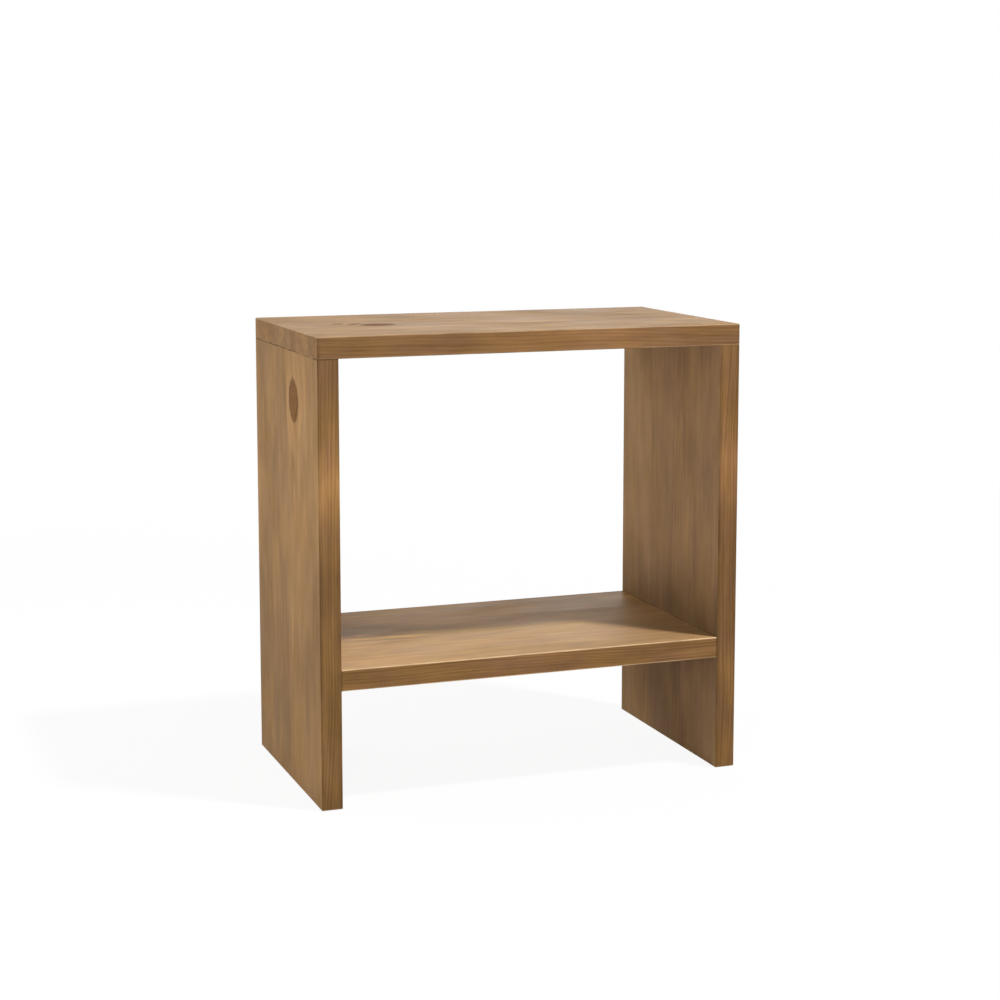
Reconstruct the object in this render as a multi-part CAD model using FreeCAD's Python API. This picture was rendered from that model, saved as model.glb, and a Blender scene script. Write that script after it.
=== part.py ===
# Open pine nightstand: a top lying on two full-depth sides, with one shelf between the sides.
# Every board is a panel glued up from three staves, and blind fluted dowels join the boards.
# X runs to the right, Y to the back and Z up. The origin is on the floor, in the middle of the
# nightstand's footprint. Lengths are in millimetres.

import FreeCAD, Part
import os

# The nightstand as a whole
width = 480.0
depth = 265.0
height = 500.0
shelf_top = 150.0       # height of the shelf's upper face above the floor

# The planed boards
top_thickness = 23.0
side_thickness = 23.0
shelf_thickness = 23.0
arris = 1.2             # radius of the eased edges that a hand can reach
joint_arris = 0.4       # finer easing where two boards meet in one flush face
hole_cover = 8.0        # wood left over the end of a dowel hole in a board's face

# Glue lines of each panel, as shares of the depth behind the front edge
top_glue_shares = (0.38, 0.72)
left_side_glue_shares = (0.483, 0.75)
right_side_glue_shares = (0.36, 0.68)
shelf_glue_shares = (0.32, 0.70)

# Dowels
dowel_diameter = 8.0
dowel_length = 40.0
dowel_chamfer = 1.0
flute_radius = 0.5
flute_count = 14
glue_film = 0.05        # between a dowel and its hole, all round
glue_pocket = 1.0       # empty hole beyond each end of a dowel

# A body that cuts a board reaches this far past it
overrun = 5.0

# Places that follow from the sizes
left_edge = -width / 2
right_edge = width / 2
front_edge = -depth / 2
left_inner = left_edge + side_thickness
right_inner = right_edge - side_thickness
top_underside = height - top_thickness
shelf_underside = shelf_top - shelf_thickness

UP = FreeCAD.Vector(0, 0, 1)
RIGHT = FreeCAD.Vector(1, 0, 0)
STAVES = ("front", "middle", "back")


def level_edges(solid, z):
    """The edges of a solid that lie at height z, to within less than the finest easing."""
    return [e for e in solid.Edges if all(abs(v.Z - z) < joint_arris / 2 for v in e.Vertexes)]


def eased_board(corner, across, rise):
    """A top or side board: as deep as the nightstand, eased all round.

    The corner is the board's lowest, leftmost and foremost point. The easing is fine where the
    sides and the top meet, at the height of the top's underside.
    """
    board = Part.makeBox(across, depth, rise, corner)
    joint_edges = level_edges(board, top_underside)
    open_edges = [e for e in board.Edges if not any(e.isSame(other) for other in joint_edges)]
    board = board.makeFillet(arris, open_edges)
    return board.makeFillet(joint_arris, level_edges(board, top_underside))


def top_board():
    """The top, from one outer side face to the other."""
    return eased_board(FreeCAD.Vector(left_edge, front_edge, top_underside), width, top_thickness)


def side_board(left_face):
    """A side, from the floor to the underside of the top."""
    return eased_board(FreeCAD.Vector(left_face, front_edge, 0), side_thickness, top_underside)


def shelf_board():
    """The shelf between the sides, with its four long edges eased and its ends cut square."""
    corner = FreeCAD.Vector(left_inner, front_edge, shelf_underside)
    board = Part.makeBox(right_inner - left_inner, depth, shelf_thickness, corner)
    long_edges = [e for e in board.Edges if e.Vertexes[0].X != e.Vertexes[-1].X]
    return board.makeFillet(arris, long_edges)


def stave_spans(glue_shares):
    """The front and the back of each stave of a panel."""
    lines = [front_edge + share * depth for share in (0, *glue_shares, 1)]
    return list(zip(lines, lines[1:]))


def stave(board, front, back):
    """The part of a board between two glue lines, square-edged where it is glued."""
    box = board.BoundBox
    corner = FreeCAD.Vector(box.XMin - overrun, front, box.ZMin - overrun)
    slab = Part.makeBox(box.XLength + 2 * overrun, back - front, box.ZLength + 2 * overrun, corner)
    return board.common(slab)


def fluted_dowel():
    """A dowel that stands on the origin, chamfered at both ends and fluted along its length."""
    radius = dowel_diameter / 2
    pin = Part.makeCylinder(radius, dowel_length)
    pin = pin.makeChamfer(dowel_chamfer, level_edges(pin, 0) + level_edges(pin, dowel_length))
    flute = Part.makeCylinder(flute_radius, dowel_length, FreeCAD.Vector(radius, 0, 0))
    turns = [360 * step / flute_count for step in range(flute_count)]
    return pin.cut([flute.rotated(FreeCAD.Vector(0, 0, 0), UP, turn) for turn in turns])


def joint(upright_shares, meeting, into_face, face_thickness):
    """The dowels and the dowel holes of one butt joint, one in each stave of the upright.

    The meeting point is the middle of the end of one board, where it touches the face of the
    other. into_face points from that end into that face.
    """
    face_hole = face_thickness - hole_cover
    end_hole = dowel_length + 2 * glue_pocket - face_hole
    hole_radius = dowel_diameter / 2 + glue_film
    dowels, holes = [], []
    for front, back in stave_spans(upright_shares):
        start = meeting + FreeCAD.Vector(0, (front + back) / 2, 0) - into_face * end_hole
        holes.append(Part.makeCylinder(hole_radius, end_hole + face_hole, start, into_face))
        dowel = dowel_stock.copy()
        turn = FreeCAD.Rotation(UP, into_face)
        dowel.Placement = FreeCAD.Placement(start + into_face * glue_pocket, turn)
        dowels.append(dowel)
    return dowels, holes


def write(name, solid):
    solid.exportStep(os.path.join("parts", name + ".step"))


dowel_stock = fluted_dowel()

# The four butt joints
left_middle = (left_edge + left_inner) / 2
right_middle = (right_inner + right_edge) / 2
shelf_middle = (shelf_underside + shelf_top) / 2
joints = {
    "top_left": joint(
        left_side_glue_shares, FreeCAD.Vector(left_middle, 0, top_underside), UP, top_thickness
    ),
    "top_right": joint(
        right_side_glue_shares, FreeCAD.Vector(right_middle, 0, top_underside), UP, top_thickness
    ),
    "shelf_left": joint(
        left_side_glue_shares, FreeCAD.Vector(left_inner, 0, shelf_middle), -RIGHT, side_thickness
    ),
    "shelf_right": joint(
        right_side_glue_shares, FreeCAD.Vector(right_inner, 0, shelf_middle), RIGHT, side_thickness
    ),
}

# Each board with its glue lines and the joints that are drilled into it
boards = {
    "top": (top_board(), top_glue_shares, ("top_left", "top_right")),
    "left_side": (side_board(left_edge), left_side_glue_shares, ("top_left", "shelf_left")),
    "right_side": (side_board(right_inner), right_side_glue_shares, ("top_right", "shelf_right")),
    "shelf": (shelf_board(), shelf_glue_shares, ("shelf_left", "shelf_right")),
}

os.makedirs("parts", exist_ok=True)

for board_name, (board, glue_shares, board_joints) in boards.items():
    for joint_name in board_joints:
        for hole in joints[joint_name][1]:
            board = board.cut(hole)
    for stave_name, (front, back) in zip(STAVES, stave_spans(glue_shares)):
        write(f"{board_name}_{stave_name}_stave", stave(board, front, back))

for joint_name, (dowels, _) in joints.items():
    for stave_name, dowel in zip(STAVES, dowels):
        write(f"{joint_name}_dowel_{stave_name}", dowel)
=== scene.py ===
# Looks of the open pine nightstand: glued-up boards of stained pine, joined by beech dowels, on a
# white floor in soft studio light. Lengths are in metres, and turns are in degrees until they are
# handed to Blender.

import math

import bpy
import mathutils
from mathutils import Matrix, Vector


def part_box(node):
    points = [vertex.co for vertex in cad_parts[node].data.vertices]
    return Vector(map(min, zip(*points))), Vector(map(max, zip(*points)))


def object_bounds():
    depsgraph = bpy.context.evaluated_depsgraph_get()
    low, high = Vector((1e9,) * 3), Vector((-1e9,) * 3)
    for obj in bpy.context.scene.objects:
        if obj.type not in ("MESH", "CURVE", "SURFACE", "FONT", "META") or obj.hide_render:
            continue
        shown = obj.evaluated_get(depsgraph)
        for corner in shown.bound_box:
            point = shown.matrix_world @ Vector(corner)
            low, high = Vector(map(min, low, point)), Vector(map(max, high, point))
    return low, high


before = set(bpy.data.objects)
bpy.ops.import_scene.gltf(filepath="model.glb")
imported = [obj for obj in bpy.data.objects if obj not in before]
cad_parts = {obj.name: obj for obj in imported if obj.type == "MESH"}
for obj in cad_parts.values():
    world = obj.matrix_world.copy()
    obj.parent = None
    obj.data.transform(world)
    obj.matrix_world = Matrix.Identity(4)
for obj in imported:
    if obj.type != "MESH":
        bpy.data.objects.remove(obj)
cad_low, cad_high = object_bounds()
mm = 0.001


# Node building
class Graph:
    """Short calls that add nodes to one material or world."""

    def __init__(self, owner):
        owner.use_nodes = True
        self.tree = owner.node_tree
        self.tree.nodes.clear()

    def add(self, kind, **settings):
        node = self.tree.nodes.new(kind)
        for name, value in settings.items():
            setattr(node, name, value)
        return node

    def feed(self, socket, value):
        """Links another node's output to a socket, or sets a plain value on it."""
        if isinstance(value, bpy.types.NodeSocket):
            self.tree.links.new(value, socket)
        else:
            socket.default_value = value

    def math(self, operation, *values):
        node = self.add("ShaderNodeMath", operation=operation)
        for socket, value in zip(node.inputs, values):
            self.feed(socket, value)
        return node.outputs[0]

    def plus(self, a, b):
        return self.math("ADD", a, b)

    def minus(self, a, b):
        return self.math("SUBTRACT", a, b)

    def times(self, a, b):
        return self.math("MULTIPLY", a, b)

    def over(self, a, b):
        return self.math("DIVIDE", a, b)

    def square(self, a):
        return self.math("MULTIPLY", a, a)

    def bell(self, distance, reach):
        """1 at no distance, falling smoothly to nothing past the reach."""
        return self.math("EXPONENT", self.times(self.square(self.over(distance, reach)), -1.0))

    def ease(self, value, low, high, bottom=0.0, top=1.0):
        """A smooth step from bottom, where the value is low, to top, where it is high."""
        node = self.add("ShaderNodeMapRange", interpolation_type="SMOOTHSTEP")
        for socket, given in zip(node.inputs, (value, low, high, bottom, top)):
            self.feed(socket, given)
        return node.outputs[0]

    def point(self, x, y, z):
        node = self.add("ShaderNodeCombineXYZ")
        for socket, value in zip(node.inputs, (x, y, z)):
            self.feed(socket, value)
        return node.outputs[0]

    def split(self, vector):
        """The three values of a vector or a colour."""
        node = self.add("ShaderNodeSeparateXYZ")
        self.feed(node.inputs[0], vector)
        return node.outputs

    def noise(self, where, detail=2.0, roughness=0.5):
        """Soft noise whose features are about one unit across; from 0 to 1, mostly near 0.5."""
        node = self.add("ShaderNodeTexNoise", noise_dimensions="3D")
        self.feed(node.inputs["Vector"], where)
        node.inputs["Scale"].default_value = 1.0
        node.inputs["Detail"].default_value = detail
        node.inputs["Roughness"].default_value = roughness
        return node

    def mix(self, factor, a, b, blend="MIX"):
        node = self.add("ShaderNodeMix", data_type="RGBA", blend_type=blend)
        self.feed(node.inputs[0], factor)
        self.feed(node.inputs[6], a)
        self.feed(node.inputs[7], b)
        return node.outputs[2]

    def tint(self, colour, other):
        """One colour times another."""
        return self.mix(1.0, colour, other, "MULTIPLY")

    def shade(self, colour, factor):
        """The colour times a grey factor."""
        return self.tint(colour, self.point(factor, factor, factor))


def paint(red, green, blue):
    """A colour, given as it looks on a screen from 0 to 255, as Blender's linear colour."""
    def linear(value):
        share = value / 255
        return share / 12.92 if share <= 0.04045 else ((share + 0.055) / 1.055) ** 2.4

    return (linear(red), linear(green), linear(blue), 1.0)


def tone(red, green=None, blue=None):
    """A factor on a colour: one value for all of it, or one for each of red, green and blue."""
    return (red, red if green is None else green, red if blue is None else blue, 1.0)


# Pine: a pale and a deep colour for each way of cutting it
face_wood = (paint(170, 134, 91), paint(136, 101, 65))
edge_wood = (paint(140, 103, 66), paint(99, 69, 42))
end_wood = (paint(176, 133, 86), paint(156, 116, 74))
knot_wood = (paint(131, 96, 60), paint(101, 70, 42))
# The pale colour of rubbed arrises, also laid on the top's and the shelf's front arrises as a
# painted highlight
rubbed_and_highlit_wood = paint(226, 193, 152)
halo_wood = paint(176, 136, 90)
joint_dirt = paint(60, 36, 15)
plain = tone(1.0)
yellow_stain = tone(1.03, 1.025, 0.945)
rosy_stain = tone(0.975, 0.965, 1.02)
late_on_face, late_on_edge, late_on_end = 0.30, 0.55, 0.5     # how much of the deep colour shows

# Noise for the grain and the stain: how wide its marks are across the grain, that width as a share
# of their length, and its detail
bends = (110 * mm, 0.42, 1.0)
ripples = (16 * mm, 0.14, 2.0)
cloud_marks = (62 * mm, 0.5, 3.0)
blot_marks = (20 * mm, 0.35, 2.0)
streak_marks = (7 * mm, 0.05, 2.0)
wobble_marks = (5 * mm, 0.7, 2.0)
fibre_marks = (0.9 * mm, 0.025, 3.0)
crest_marks = (1.3 * mm, 0.022, 1.0)
pore_marks = (0.6 * mm, 0.04, 1.0)
rub_and_highlight_patches = (12 * mm, 0.2, 3.0)
dirt_patches = (40 * mm, 1.0, 2.0)
fibre_roughness = 0.6
swing = 0.25                 # centred noise stays mostly within this of nothing

# Growth rings
bend_depth = 15 * mm
ripple_depth = 2.2 * mm
ring_width = 2.7 * mm
ring_jitter = 2.0            # how far a ring strays from its place, in rings
ring_run = 0.4               # how quickly that changes from ring to ring
log_taper = 0.012            # how much a ring's radius grows per length along the stave
late_from, late_full, late_to = 0.25, 0.92, 0.93     # where the late wood lies in a ring
faintest_ring = 0.35

# Knots: sizes are shares of the knot's own, along and across the grain
knot_outline = 1.8           # 2 is an ellipse, and less is more pointed
pull_size, pull = (1.3, 1.8), 0.85       # how far and how much the grain makes way beside a knot
push_size, push = (1.6, 3.0), 0.22       # and through the board
tail_size = (1.7, 0.22)      # the dark line beyond a knot's tips
halo_share, tail_share = 0.4, 0.45
rim_wobble = 0.3
rings_in_knot = 4.0
crack_width = 0.35 * mm
crack_wobble = 0.2
crack_dark = 0.6

# How much each mark changes the brightness, on faces and on edges
cloud_depth = (0.105, 0.105)
blot_depth = (0.095, 0.10)
streak_depth = (0.07, 0.12)
fibre_depth = (0.10, 0.11)
pore_depth = (0.16, 0.28)
crest_gain = 0.11
stain_on_end = 0.3
fleck_wobble = 4 * mm
band_drift = 40 * mm         # how far the clouds move a band of paler or deeper colour

# Arrises, joints and glue lines
rub_and_highlight_width = (1.5 * mm, 0.5 * mm)        # where the rubbed paling and the painted arris highlight start, and where they are full, from the arris
arris_darkening_width = ((2.0 * mm, 0.8 * mm), (5.0 * mm, 1.0 * mm))        # the same on faces and on edges
arris_darkening_on_face = 0.4           # next to edges
arris_darkening_depth = (0.06, 0.28)
far = 1.0                    # further from a board's end than any arris
joint_gap = 0.75 * mm        # half width of the dark line in a joint
joint_dark = 0.92
right_joint = 0.4            # how much of the left end's dirt the right end has
glue_width = 0.22 * mm
glue_dark = 0.35

# Relief and gloss
relief = 0.15 * mm
relief_strength = 0.6
roughness_range = (0.50, 0.70)
knot_roughness = 0.2         # added in a knot
dirt_roughness = 0.3         # added in a joint
specular_level = 0.05


class Knot:
    """A knot through a board, in millimetres: its middle along the grain and in depth, its half
    sizes the same way, how far its tip leans to the back, how dark it is and its own tint."""

    def __init__(self, along, depth, half_along, half_depth, lean=0.0, strength=1.0, tint=plain):
        self.along = along * mm
        self.depth = depth * mm
        self.half_along = half_along * mm
        self.half_depth = half_depth * mm
        self.lean = math.radians(lean)
        self.strength = strength
        self.tint = tint


class Band:
    """A stretch of a board, in millimetres, made paler or deeper: some bands by stain, some as
    painted shade and some as painted light. Given: where along the grain, how far it reaches, and
    how much paler it is on the stave's lower or left face, on its upper or right face, and on its
    front and back edges."""

    def __init__(self, middle, reach, low_face=0.0, high_face=0.0, edges=0.0):
        self.middle = middle * mm
        self.reach = reach * mm
        self.low_face = low_face
        self.high_face = high_face
        self.edges = edges


class Fleck:
    """A thin streak of the grain, in millimetres: its ends, each along the grain and in depth, and
    its half width. It lies on the upper face of a level board and the left face of an upright."""

    def __init__(self, start, stop, half_width, tint):
        self.start, self.start_depth = (value * mm for value in start)
        self.stop, self.stop_depth = (value * mm for value in stop)
        self.half_width = half_width * mm
        self.tint = tint


class Stave:
    """One stave: where its log's middle lies from its own, in millimetres through the thickness
    and in depth, where its noise starts, and what its material needs."""

    def __init__(self, node, pith, seed, face, edge=plain, rub_and_highlight=0.4, figure=1.0, cloud=1.0,
                 stain=1.0, knots=(), bands=(), flecks=()):
        self.node = node
        self.upright = "side" in node
        self.seed = seed
        self.face = face
        self.edge = edge
        self.rub_and_highlight = rub_and_highlight
        self.figure = figure
        self.cloud = cloud
        self.stain = stain
        self.knots = knots
        self.bands = bands
        self.flecks = flecks
        low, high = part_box(node)
        self.axes = (2, 0, 1) if self.upright else (0, 2, 1)
        across = self.axes[1:]
        self.pith = [
            (low[axis] + high[axis]) / 2 + offset * mm for axis, offset in zip(across, pith)
        ]
        self.glue_lines = [y for y in (low.y, high.y) if abs(abs(y) - cad_high.y) > mm]


class Grain:
    """The values that a stave's colour, gloss and relief are made from."""

    def __init__(self, g, stave):
        self.g = g
        self.stave = stave
        texture_place = g.add("ShaderNodeTexCoord").outputs
        self.place = g.split(texture_place["Object"])
        self.normal = g.split(texture_place["Normal"])
        self.along, self.through, self.depth = (self.place[axis] for axis in stave.axes)
        self.end = g.ease(g.math("ABSOLUTE", self.normal[stave.axes[0]]), 0.55, 0.9)
        self.edge = g.ease(g.math("ABSOLUTE", self.normal[1]), 0.35, 0.9)
        self.high_face = g.ease(self.normal[stave.axes[1]], -0.5, 0.5)

    def on(self, face, edge):
        """One value on the stave's faces and another on its front and back edges."""
        return self.g.ease(self.edge, 0.0, 1.0, face, edge)

    def marks(self, noise, roughness=0.5):
        """Noise with its marks drawn out along the grain."""
        g, (reach, squeeze, detail) = self.g, noise
        where = g.point(
            g.plus(g.over(self.through, reach), self.stave.seed),
            g.over(self.depth, reach),
            g.over(g.times(self.along, squeeze), reach),
        )
        return g.noise(where, detail, roughness).outputs

    def one(self, noise, roughness=0.5):
        """One noise, from about 0 to 1."""
        return self.marks(noise, roughness)[0]

    def three(self, noise):
        """Three noises that don't follow each other, each from about -0.5 to 0.5."""
        return [self.g.minus(channel, 0.5) for channel in self.g.split(self.marks(noise)["Color"])]

    def bend_round(self, knot):
        """Bends the grain round a knot.

        Returns how far out each point is, 1 at the knot's rim, a smear beyond its tips, and how
        far each point is from the line through its tips.
        """
        g = self.g
        up, aside = g.minus(self.along, knot.along), g.minus(self.depth, knot.depth)
        turn, tilt = math.cos(knot.lean), math.sin(knot.lean)
        tip = g.plus(g.times(up, turn), g.times(aside, tilt))
        flank = g.minus(g.times(aside, turn), g.times(up, tilt))

        def spread(size):
            along, across = size[0] * knot.half_along, size[1] * knot.half_depth
            return g.times(g.bell(tip, along), g.bell(flank, across))

        pointed = g.math("POWER", g.math("ABSOLUTE", g.over(tip, knot.half_along)), knot_outline)
        out = g.math("SQRT", g.plus(pointed, g.square(g.over(flank, knot.half_depth))))
        self.depth = g.minus(self.depth, g.times(flank, g.times(spread(pull_size), pull)))
        self.through = g.plus(self.through, g.times(spread(push_size), push * knot.half_depth))
        return out, spread(tail_size), flank

    def late_wood(self):
        """0 in the pale early wood of a ring, rising to 1 in its dark late wood."""
        g, stave = self.g, self.stave
        large, small = self.three(bends), self.three(ripples)
        offsets = []
        for axis, place in enumerate((self.through, self.depth)):
            bend = g.plus(g.times(large[axis], bend_depth), g.times(small[axis], ripple_depth))
            offsets.append(g.minus(g.plus(place, bend), stave.pith[axis]))
        radius = g.math("SQRT", g.plus(g.square(offsets[0]), g.square(offsets[1])))
        rings = g.over(g.plus(radius, g.times(self.along, log_taper)), ring_width)
        uneven = g.noise(g.point(g.times(rings, ring_run), stave.seed, 0.0), 1.0).outputs[0]
        rings = g.plus(rings, g.times(uneven, ring_jitter))
        phase = g.math("FRACT", rings)
        late = g.times(g.ease(phase, late_from, late_full), g.ease(phase, 1.0, late_to))
        number = g.add("ShaderNodeTexWhiteNoise", noise_dimensions="1D")
        g.feed(number.inputs["W"], g.plus(g.math("FLOOR", rings), stave.seed))
        return g.times(late, g.ease(number.outputs["Value"], 0.0, 1.0, faintest_ring, 1.0))

    def from_arrises(self):
        """How far a point is from the board's nearest upright and its nearest level open arris."""
        g, (low, high) = self.g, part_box(self.stave.node)
        lows, highs = list(low), list(high)
        lows[1], highs[1] = cad_low.y, cad_high.y
        if self.stave.upright:
            highs[2] += far
        if "shelf" in self.stave.node:
            lows[0], highs[0] = -far, far
        gaps = [
            g.math("MINIMUM", g.minus(place, lowest), g.minus(highest, place))
            for place, lowest, highest in zip(self.place, lows, highs)
        ]
        nearest = g.math("MINIMUM", gaps[0], gaps[1])
        return g.math("MAXIMUM", gaps[0], gaps[1]), g.math("MAXIMUM", nearest, gaps[2])

    def rubbed_and_highlit(self, from_arris):
        """1 on an arris, fading in patches over its width: rubbed pale wood, and a painted
        highlight along the top's and the shelf's front arrises.
        """
        g = self.g
        patchy = g.ease(self.one(rub_and_highlight_patches), 0.3, 0.6, 0.35, 1.0)
        return g.times(g.ease(from_arris, *rub_and_highlight_width), patchy)

    def dirt(self):
        """1 in the joint between the sides and the top and where the shelf meets the sides."""
        g = self.g
        if "shelf" in self.stave.node:
            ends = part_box("shelf_middle_stave")[1].x
            away = g.minus(g.math("ABSOLUTE", self.place[0]), ends)
            flush = 1.0
        else:
            away = g.minus(self.place[2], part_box("top_middle_stave")[0].z)
            level = g.ease(g.math("ABSOLUTE", self.normal[2]), 0.8, 0.95)
            cleaner = g.ease(self.place[0], 0.0, cad_high.x, 1.0, right_joint)
            flush = g.times(g.minus(1.0, level), cleaner)
        patchy = g.ease(self.one(dirt_patches), 0.35, 0.62, 0.2, 1.0)
        return g.times(g.times(g.bell(away, joint_gap), flush), patchy)

    def glue(self):
        """1 on the hairline between this stave and the next."""
        g = self.g
        lines = [g.bell(g.minus(self.place[1], y), glue_width) for y in self.stave.glue_lines]
        return g.math("MAXIMUM", *lines) if len(lines) > 1 else lines[0]


def pair(g, factor, colours):
    return g.mix(factor, colours[0], colours[1])


def knot_over(g, colour, knot, spot, wobble):
    """Lays a knot over the colour: a pale halo, a dark rim, growth rings and a dry crack inside."""
    out, tail, flank = spot
    rim = g.plus(out, g.times(wobble[0], rim_wobble))
    halo = g.times(g.ease(rim, 1.0, 1.15), g.ease(rim, 1.8, 1.15))
    colour = g.mix(g.times(halo, halo_share * knot.strength), colour, halo_wood)
    colour = g.mix(g.times(tail, tail_share * knot.strength), colour, knot_wood[1])
    ring = g.ease(g.math("FRACT", g.times(rim, rings_in_knot)), 0.2, 0.9)
    deep = g.plus(g.times(wobble[1], 0.9), g.times(ring, 0.35))
    inner = pair(g, g.plus(deep, 0.1), knot_wood)
    dark_rim = g.times(g.ease(rim, 0.6, 0.95), g.ease(wobble[2], -0.2, 0.2, 0.4, 0.9))
    inner = g.mix(dark_rim, inner, knot_wood[1])
    middle = g.plus(flank, g.times(wobble[1], crack_wobble * knot.half_depth))
    crack = g.times(g.bell(middle, crack_width), g.ease(rim, 0.75, 0.35, 0.0, crack_dark))
    inner = g.tint(g.mix(crack, inner, joint_dirt), knot.tint)
    return g.mix(g.ease(rim, 1.12, 0.86, 0.0, knot.strength), colour, inner)


def fleck_over(g, colour, grain, fleck, wobble):
    """Tints a thin streak of the grain."""
    length = fleck.stop - fleck.start
    slope = (fleck.stop_depth - fleck.start_depth) / length
    run = g.minus(grain.place[grain.stave.axes[0]], fleck.start)
    uneven = g.plus(g.times(wobble[0], fleck_wobble), fleck.start_depth)
    line = g.plus(g.times(run, slope), uneven)
    shape = g.times(
        g.bell(g.minus(run, length / 2), abs(length) / 2),
        g.bell(g.minus(grain.place[1], line), fleck.half_width),
    )
    shown = g.minus(1.0, grain.high_face) if grain.stave.upright else grain.high_face
    return g.mix(g.times(shape, shown), colour, g.tint(colour, fleck.tint))


def band_values(g, value, grain, drift):
    """Makes the value paler or deeper along the stave's bands."""
    for band in grain.stave.bands:
        along = g.plus(g.minus(grain.place[grain.stave.axes[0]], band.middle), drift)
        on_face = g.ease(grain.high_face, 0.0, 1.0, band.low_face, band.high_face)
        change = g.times(g.bell(along, band.reach), grain.on(on_face, band.edges))
        value = g.times(value, g.plus(change, 1.0))
    return value


def pine(stave):
    """Stained pine for one stave, as one solid log cut through."""
    material = bpy.data.materials.new(f"pine_{stave.node}")
    g = Graph(material)
    grain = Grain(g, stave)
    spots = [grain.bend_round(knot) for knot in stave.knots]
    late = grain.late_wood()
    clouds, blots, streaks = (
        grain.three(marks) for marks in (cloud_marks, blot_marks, streak_marks)
    )
    wobble = grain.three(wobble_marks)
    fibre = grain.one(fibre_marks, fibre_roughness)
    crest = g.ease(grain.one(crest_marks), 0.66, 0.76)
    pore = g.ease(grain.one(pore_marks), 0.68, 0.80)
    dirt = grain.dirt()

    # The wood as cut, with its knots
    face = pair(g, g.times(late, late_on_face), face_wood)
    colour = g.mix(grain.edge, face, pair(g, g.times(late, late_on_edge), edge_wood))
    colour = g.mix(grain.end, colour, pair(g, g.times(late, late_on_end), end_wood))
    for knot, spot in zip(stave.knots, spots):
        colour = knot_over(g, colour, knot, spot, wobble)

    # The stain's hue, twice as strong on edges
    shift = g.plus(g.times(clouds[1], 0.8), blots[1])
    hue = g.mix(g.ease(shift, -swing, swing), yellow_stain, rosy_stain)
    share = g.times(grain.on(stave.stain, 1.0), g.ease(grain.end, 0.0, 1.0, 1.0, stain_on_end))
    hue = g.mix(share, plain, hue)
    colour = g.tint(colour, hue)
    colour = g.mix(grain.edge, colour, g.tint(colour, hue))
    for fleck in stave.flecks:
        colour = fleck_over(g, colour, grain, fleck, wobble)
    colour = g.tint(colour, g.mix(grain.edge, stave.face, stave.edge))

    # Its depth
    value = 1.0
    for part, low, high, (on_face, on_edge), strength in (
        (clouds[0], -swing, swing, cloud_depth, stave.cloud),
        (blots[0], -swing, swing, blot_depth, stave.figure),
        (streaks[0], -swing, swing, streak_depth, stave.figure),
        (fibre, 0.2, 0.8, fibre_depth, stave.figure),
    ):
        change = grain.on(on_face * strength, on_edge)
        value = g.times(value, g.plus(g.times(g.ease(part, low, high, -1.0, 1.0), change), 1.0))
    value = g.times(value, g.minus(1.0, g.times(pore, grain.on(*pore_depth))))
    value = g.times(value, g.plus(g.times(crest, crest_gain * stave.figure), 1.0))
    value = band_values(g, value, grain, g.times(clouds[0], band_drift))
    upright_arris, level_arris = grain.from_arrises()
    # Darker along the upright arrises, in patches
    arris_darkening = grain.on(
        g.ease(upright_arris, *arris_darkening_width[0], 0.0, arris_darkening_on_face),
        g.ease(upright_arris, *arris_darkening_width[1]),
    )
    arris_darkening = g.times(arris_darkening, g.ease(blots[2], -0.15, 0.15, *arris_darkening_depth))
    colour = g.shade(colour, g.times(value, g.minus(1.0, arris_darkening)))

    # Rubbed paling and painted highlight on level arrises, glue and dirt
    colour = g.mix(g.times(grain.rubbed_and_highlit(level_arris), stave.rub_and_highlight), colour, rubbed_and_highlit_wood)
    colour = g.mix(g.times(grain.glue(), glue_dark), colour, joint_dirt)
    colour = g.mix(g.times(dirt, joint_dark), colour, joint_dirt)

    bump = g.add("ShaderNodeBump")
    bump.inputs["Strength"].default_value = relief_strength
    bump.inputs["Distance"].default_value = relief
    height = g.plus(g.times(late, 0.5), g.plus(g.times(fibre, 0.7), g.times(pore, -0.9)))
    g.feed(bump.inputs["Height"], height)

    gloss = g.plus(g.times(fibre, 0.5), g.plus(g.times(late, -0.2), clouds[2]))
    roughness = g.ease(gloss, -0.1, 0.7, *roughness_range)
    for knot, (out, _, _) in zip(stave.knots, spots):
        in_knot = g.ease(out, 1.1, 0.7, 0.0, knot_roughness * knot.strength)
        roughness = g.plus(roughness, in_knot)
    roughness = g.plus(roughness, g.times(dirt, dirt_roughness))

    shader = g.add("ShaderNodeBsdfPrincipled")
    shader.inputs["Specular IOR Level"].default_value = specular_level
    g.feed(shader.inputs["Base Color"], colour)
    g.feed(shader.inputs["Roughness"], roughness)
    g.feed(shader.inputs["Normal"], bump.outputs[0])
    g.feed(g.add("ShaderNodeOutputMaterial").inputs["Surface"], shader.outputs[0])
    return material


def dress(node, material):
    """Gives a CAD node its material."""
    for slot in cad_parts[node].material_slots:
        slot.material = material


# Knots
rusty = tone(1.0, 0.78, 0.55)
side_knot = Knot(424, -35, 24, 19.5, lean=8)
side_smudge = Knot(357, -30, 12, 5, strength=0.18)
top_knot = Knot(-137, -7, 21, 14, strength=0.9, tint=rusty)
small_knots = (
    Knot(-176, 16, 8, 5, lean=20, strength=0.8, tint=rusty),
    Knot(-160, 4, 9, 5, lean=20, strength=0.8, tint=rusty),
)

# Bands: stain, with painted shade and painted light where the comments below say so
top_faces = (Band(135, 70, high_face=-0.15),)
top_front = (*top_faces, Band(110, 140, edges=0.29), Band(-205, 50, edges=-0.09))
# On the left outer faces: darker near the top, and darker low down as painted shade where less
# light reaches
left_faces = (Band(455, 45, low_face=-0.10), Band(150, 80, low_face=-0.12))
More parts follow.
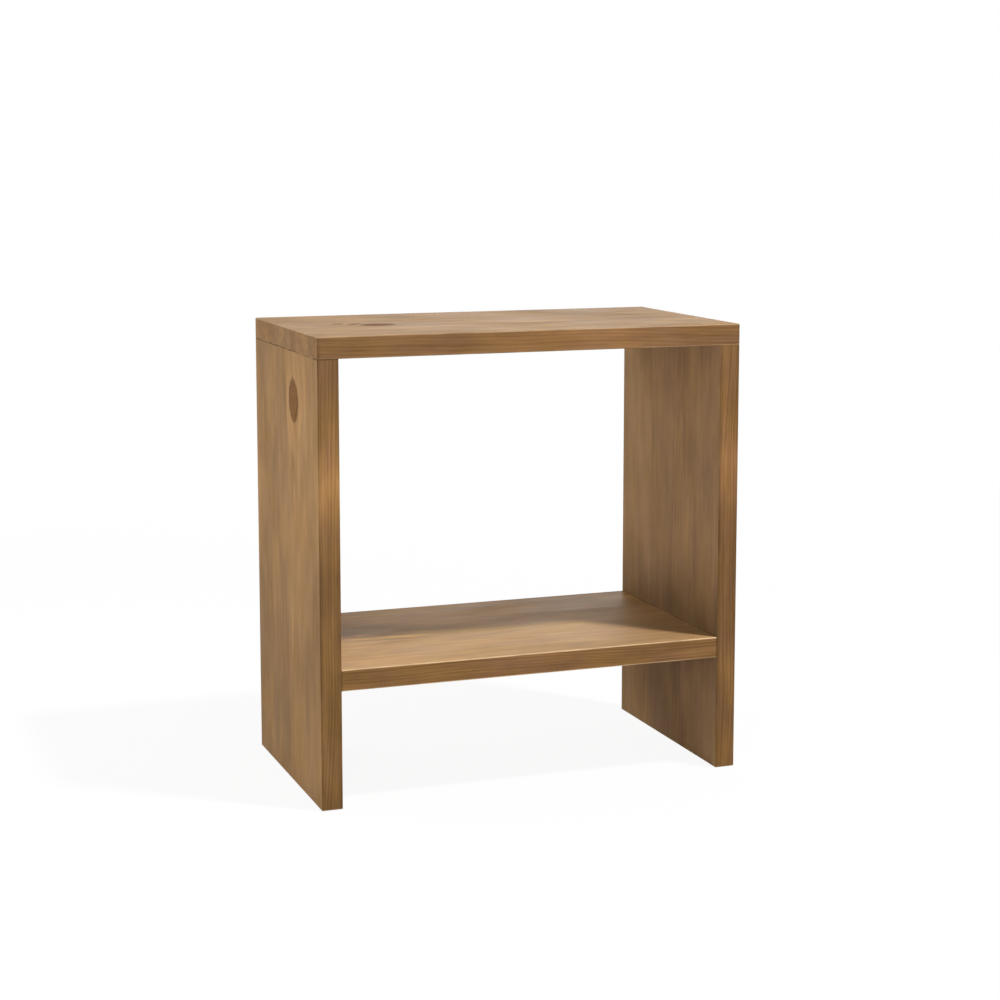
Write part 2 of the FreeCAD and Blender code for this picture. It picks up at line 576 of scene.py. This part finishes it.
# On the left front stave: its outer face paler high up, as painted light, and darker low down, as
# painted shade; its front edge paler in a band about 345 mm up, as a painted pool of light
left_front = (
    Band(430, 50, low_face=0.16, edges=0.12), Band(335, 80, low_face=0.18),
    Band(345, 48, edges=0.86), Band(250, 40, edges=-0.10), Band(130, 60, low_face=-0.13),
)
# Painted shade on the right staves' inner faces: deep just above the shelf, and lighter low down
# near the floor
right_painted_shade = (Band(152, 53, low_face=-0.42), Band(55, 50, low_face=-0.14))
# On the right front stave: its front edge paler in a band about 350 mm up, as a painted pool of
# light
right_front = (
    *right_painted_shade, Band(430, 60, low_face=0.11, edges=-0.06), Band(275, 40, low_face=0.10),
    Band(350, 50, edges=0.54), Band(245, 50, edges=-0.12),
)
right_middle = (*right_painted_shade, Band(435, 55, low_face=0.12), Band(310, 60, low_face=-0.09))
right_back = (*right_painted_shade, Band(440, 50, low_face=-0.09))
# On the shelf: its upper face darker towards the right side, as painted shade in the corner by the
# side
shelf_bands = (
    Band(150, 90, high_face=-0.16), Band(-170, 70, high_face=0.05),
    Band(10, 80, edges=0.17), Band(-195, 60, edges=-0.14),
)

# Flecks
pale_streak = tone(1.72, 1.74, 1.72)
dark_streak = tone(0.60, 0.58, 0.55)
soft_streak = tone(0.80, 0.78, 0.76)
yellow_streak = tone(1.0, 1.01, 0.84)
left_flecks = (
    Fleck((190, -21), (146, -20), 1.2, pale_streak),
    Fleck((331, -33), (312, -32), 1.2, pale_streak),
)
shelf_flecks = (
    Fleck((-178, -1), (-150, -6), 3.5, pale_streak),
    Fleck((-168, 12), (-140, 12), 3, pale_streak),
    Fleck((-143, -4), (-86, -9), 4, pale_streak),
    Fleck((-122, 13), (-66, 6), 4, pale_streak),
    Fleck((-175, -13), (-89, -19), 3.5, dark_streak),
    Fleck((-152, -31), (-112, -28), 5, soft_streak),
    Fleck((-48, -35), (77, -15), 4, soft_streak),
    Fleck((-180, -6), (110, -4), 14, yellow_streak),
)

# Each board's staves, from front to back
top_wood = dict(figure=1.5, cloud=0.8, stain=0.7)
left_wood = dict(face=tone(0.97, 0.92, 0.85), cloud=1.5, stain=0.5)
right_wood = dict(figure=0.85, cloud=0.85)
shelf_wood = dict(figure=0.8, stain=0.6, bands=shelf_bands)
right_tone = tone(0.93, 0.965, 1.09)
staves = [
    Stave("top_front_stave", (-62, 18), 1.7, tone(0.78), tone(0.94, 0.96, 0.97),
          bands=top_front, **top_wood),
    Stave("top_middle_stave", (-48, -14), 5.2, tone(0.765),
          knots=(top_knot, *small_knots), bands=top_faces, **top_wood),
    Stave("top_back_stave", (-75, 30), 9.4, tone(0.745), tone(1.05), bands=top_faces, **top_wood),
    Stave("left_side_front_stave", (55, -6), 12.3, edge=tone(0.85, 0.88, 0.87),
          knots=(side_knot, side_smudge), bands=left_front, flecks=left_flecks, **left_wood),
    Stave("left_side_middle_stave", (70, 22), 17.8, bands=left_faces, **left_wood),
    Stave("left_side_back_stave", (58, -26), 21.1, edge=tone(0.97), bands=left_faces, **left_wood),
    Stave("right_side_front_stave", (60, 20), 25.6, right_tone, tone(0.90, 0.91, 0.87),
          bands=right_front, **right_wood),
    Stave("right_side_middle_stave", (46, -42), 29.9, right_tone,
          bands=right_middle, **right_wood),
    Stave("right_side_back_stave", (44, 60), 33.2, tone(1.03, 1.06, 1.18), tone(1.05),
          bands=right_back, **right_wood),
    Stave("shelf_front_stave", (-60, -20), 38.5, tone(1.12, 1.15, 1.22), tone(0.95, 0.96, 0.96),
          rub_and_highlight=1.0, **shelf_wood),
    Stave("shelf_middle_stave", (-50, 12), 42.7, tone(1.12, 1.15, 1.15),
          flecks=shelf_flecks, **shelf_wood),
    Stave("shelf_back_stave", (-72, 24), 47.3, tone(1.12, 1.12, 1.01), rub_and_highlight=0.8, **shelf_wood),
]
for stave in staves:
    dress(stave.node, pine(stave))


# Beech dowels, sealed in the boards
beech_tones = (paint(205, 168, 128), paint(222, 190, 150))
beech_fleck = 1.5 * mm
beech_roughness = 0.6


def beech():
    material = bpy.data.materials.new("raw_beech")
    g = Graph(material)
    flecks = g.add("ShaderNodeTexVoronoi")
    g.feed(flecks.inputs["Vector"], g.add("ShaderNodeTexCoord").outputs["Object"])
    flecks.inputs["Scale"].default_value = 1 / beech_fleck
    shader = g.add("ShaderNodeBsdfPrincipled")
    paleness = g.ease(flecks.outputs["Distance"], 0.1, 0.7)
    g.feed(shader.inputs["Base Color"], pair(g, paleness, beech_tones))
    shader.inputs["Roughness"].default_value = beech_roughness
    g.feed(g.add("ShaderNodeOutputMaterial").inputs["Surface"], shader.outputs[0])
    return material


dowel_material = beech()
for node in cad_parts:
    if "dowel" in node:
        dress(node, dowel_material)


# Studio
white = (1.0, 1.0, 1.0, 1.0)
room_light = 0.30            # strength of the even light from all sides
floor_lit = paint(220, 220, 220)         # the floor's colour to the light that falls on it
floor_seen = paint(243, 243, 243)        # and to the camera
floor_glow = 0.92            # how far its own white covers its shading, to the camera
floor_ring = (0.6, 2.2)      # from here to here, outwards, it turns to plain white
floor_half = 12.0
floor_drop = 0.3 * mm        # below the nightstand's feet
lamps = {                    # place, diameter and power
    "key_lamp": ((1.37, -1.40, 3.74), 0.33, 134.5),
    "side_lamp": ((-1.10, 0.70, 0.80), 0.60, 5.0),
    "front_lamp": ((-0.50, -1.00, 0.42), 0.40, 2.2),
    "back_lamp": ((0.90, 2.20, 0.60), 1.20, 9.7),
}

# Camera, at the photograph's viewing angle
sensor_width = 36.0          # this and the next in millimetres, as Blender takes them
focal_length = 75.9
upward_shift = -0.08
nearest_seen = 0.05
camera_place = (-0.804, -2.209, 0.6945)
camera_turn = (90 - 7.43, 0.0, -20.18)


def seen_white(g):
    """1 for rays that look at the background, straight or in a gloss or glass, and 0 for light."""
    path = g.add("ShaderNodeLightPath")
    seen = g.math("MAXIMUM", path.outputs["Is Camera Ray"], path.outputs["Is Glossy Ray"])
    return g.math("MAXIMUM", seen, path.outputs["Is Transmission Ray"])


def blend_shaders(g, factor, first, second):
    blend = g.add("ShaderNodeMixShader")
    for socket, value in zip(blend.inputs, (factor, first.outputs[0], second.outputs[0])):
        g.feed(socket, value)
    return blend


def floor():
    """A white floor that keeps a faint shadow, and that can be looked through from below."""
    mesh = bpy.data.meshes.new("floor")
    signs = ((-1, -1), (1, -1), (1, 1), (-1, 1))
    corners = [(x * floor_half, y * floor_half, -floor_drop) for x, y in signs]
    mesh.from_pydata(corners, [], [(0, 1, 2, 3)])
    piece = bpy.data.objects.new("floor", mesh)
    bpy.context.scene.collection.objects.link(piece)
    material = bpy.data.materials.new("floor_white")
    g = Graph(material)
    seen = seen_white(g)
    matt = g.add("ShaderNodeBsdfDiffuse")
    g.feed(matt.inputs["Color"], g.mix(seen, floor_lit, floor_seen))
    glow = g.add("ShaderNodeEmission")
    place = g.split(g.add("ShaderNodeTexCoord").outputs["Object"])
    away = g.math("SQRT", g.plus(g.square(place[0]), g.square(place[1])))
    cover = g.times(seen, g.ease(away, *floor_ring, floor_glow, 1.0))
    top = blend_shaders(g, cover, matt, glow)
    from_below = g.add("ShaderNodeNewGeometry").outputs["Backfacing"]
    sheet = blend_shaders(g, from_below, top, g.add("ShaderNodeBsdfTransparent"))
    g.feed(g.add("ShaderNodeOutputMaterial").inputs["Surface"], sheet.outputs[0])
    mesh.materials.append(material)


def room():
    """A white background, and softer white light on everything."""
    world = bpy.data.worlds.new("white_room")
    bpy.context.scene.world = world
    g = Graph(world)
    light, backdrop = g.add("ShaderNodeBackground"), g.add("ShaderNodeBackground")
    light.inputs["Color"].default_value = white
    light.inputs["Strength"].default_value = room_light
    backdrop.inputs["Color"].default_value = white
    blend = blend_shaders(g, seen_white(g), light, backdrop)
    g.feed(g.add("ShaderNodeOutputWorld").inputs["Surface"], blend.outputs[0])


def lamp(name, place, size, power):
    """A round soft lamp that faces the nightstand's middle and stays out of the picture."""
    data = bpy.data.lights.new(name, "AREA")
    data.shape = "DISK"
    data.size = size
    data.energy = power
    piece = bpy.data.objects.new(name, data)
    piece.location = place
    middle = mathutils.Vector((0.0, 0.0, cad_high.z / 2))
    aim = middle - piece.location
    piece.rotation_euler = aim.to_track_quat("-Z", "Y").to_euler()
    piece.visible_camera = False
    bpy.context.scene.collection.objects.link(piece)


def photograph_camera():
    data = bpy.data.cameras.new("camera")
    data.sensor_width = sensor_width
    data.lens = focal_length
    data.shift_y = upward_shift
    data.clip_start = nearest_seen
    piece = bpy.data.objects.new("camera", data)
    piece.location = camera_place
    piece.rotation_euler = [math.radians(turn) for turn in camera_turn]
    bpy.context.scene.collection.objects.link(piece)
    bpy.context.scene.camera = piece


floor()
room()
for name, (place, size, power) in lamps.items():
    lamp(name, place, size, power)
photograph_camera()

bpy.context.scene.view_settings.view_transform = "Standard"
